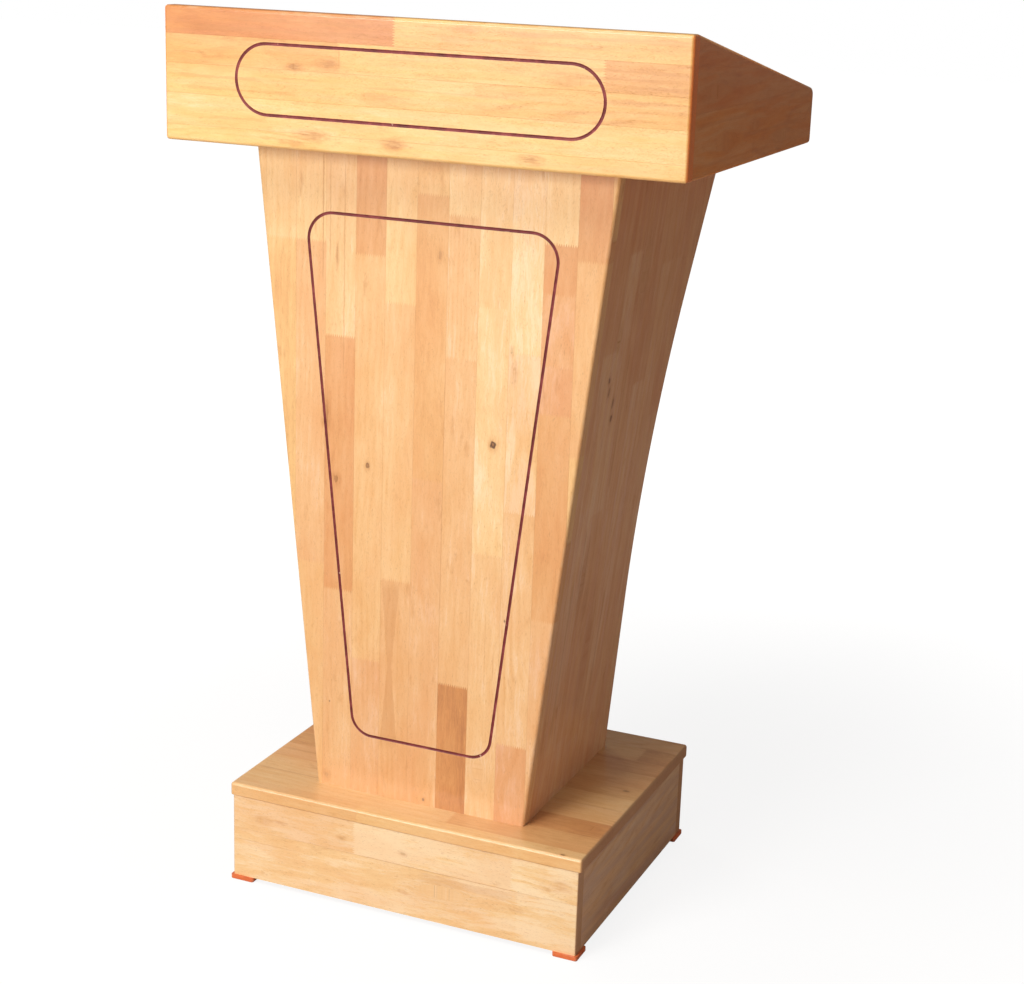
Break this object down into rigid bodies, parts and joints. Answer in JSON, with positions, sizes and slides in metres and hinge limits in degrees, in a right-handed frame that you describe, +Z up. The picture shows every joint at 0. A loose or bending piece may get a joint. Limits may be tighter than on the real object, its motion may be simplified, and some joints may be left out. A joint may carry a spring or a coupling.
{
  "type": "presentation lectern",
  "caption": "Solid-wood floor lectern: sloped head with routed fascia, column that widens upwards with open shelves at the back, box plinth on corner pads.",
  "frame": {"origin": "on the floor, in the middle of the lectern's outline", "axes": "+Z up; -Y towards the audience, where the fascia and the front panel face; +Y towards the speaker; +X to the right of someone who looks at the fascia"},
  "size_m": [0.678, 0.515, 1.148],
  "materials": {
    "lacquered_wood": "satin lacquer over edge-glued rubberwood",
    "line_paint": "maroon paint in a routed groove",
    "pad_plastic": "moulded orange plastic",
    "dowel_wood": "bare beech",
    "screw_steel": "zinc plated"
  },
  "bodies": {
    "root": {"back_left_corner_block": "lacquered_wood", "back_left_foot": "pad_plastic", "back_right_corner_block": "lacquered_wood", "back_right_foot": "pad_plastic", "column_board_dowels": "dowel_wood", "column_bottom_board": "lacquered_wood", "column_fixing_screws": "screw_steel", "column_top_board": "lacquered_wood", "corner_block_screws": "screw_steel", "fascia_board": "lacquered_wood", "fascia_dowels": "dowel_wood", "fascia_groove_line": "line_paint", "foot_tacks": "screw_steel", "front_left_corner_block": "lacquered_wood", "front_left_foot": "pad_plastic", "front_panel": "lacquered_wood", "front_panel_dowels": "dowel_wood", "front_panel_groove_line": "line_paint", "front_right_corner_block": "lacquered_wood", "front_right_foot": "pad_plastic", "head_fixing_screws": "screw_steel", "head_floor": "lacquered_wood", "head_floor_dowels": "dowel_wood", "left_cheek": "lacquered_wood", "left_reading_cleat": "lacquered_wood", "left_side_panel": "lacquered_wood", "lower_shelf": "lacquered_wood", "lower_shelf_left_cleat": "lacquered_wood", "lower_shelf_right_cleat": "lacquered_wood", "plinth_back_apron": "lacquered_wood", "plinth_dowels": "dowel_wood", "plinth_front_apron": "lacquered_wood", "plinth_left_side_apron": "lacquered_wood", "plinth_right_side_apron": "lacquered_wood", "plinth_top_board": "lacquered_wood", "reading_board": "lacquered_wood", "reading_cleat_screws": "screw_steel", "rear_rail": "lacquered_wood", "rear_rail_dowels": "dowel_wood", "right_cheek": "lacquered_wood", "right_reading_cleat": "lacquered_wood", "right_side_panel": "lacquered_wood", "shelf_cleat_screws": "screw_steel", "upper_shelf": "lacquered_wood", "upper_shelf_left_cleat": "lacquered_wood", "upper_shelf_right_cleat": "lacquered_wood"}
  },
  "joints": []
}
